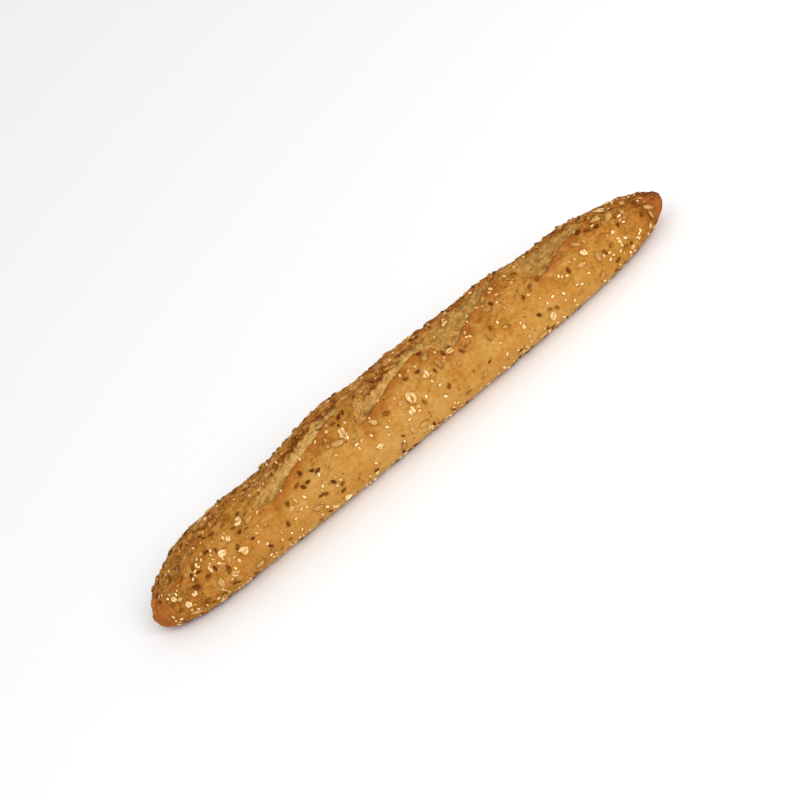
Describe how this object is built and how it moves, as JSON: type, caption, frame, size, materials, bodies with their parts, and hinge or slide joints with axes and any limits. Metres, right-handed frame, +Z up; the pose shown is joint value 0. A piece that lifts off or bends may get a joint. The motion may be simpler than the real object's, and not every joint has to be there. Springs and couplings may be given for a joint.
{
  "type": "baguette",
  "caption": "Long narrow seeded multigrain loaf with a flat base, rounded ends and oblique slashes that gape under raised ears.",
  "frame": {"origin": "middle of the flat base, on the surface that the loaf rests on", "axes": "+X along the loaf to its slimmer end, -Y the side that the slashes open to, +Z up"},
  "size_m": [0.48, 0.0713, 0.0601],
  "materials": {
    "crust": "baked golden brown crust, matt, darker on the crown and the ends",
    "oat": "cream rolled oat, matt",
    "kernel": "roasted sunflower kernel, faint sheen",
    "linseed": "dark brown linseed, slight gloss",
    "sesame": "pale sesame seed, faint sheen",
    "grit": "dark kibbled grain, matt"
  },
  "bodies": {
    "root": {"baguette": "crust"}
  },
  "joints": []
}
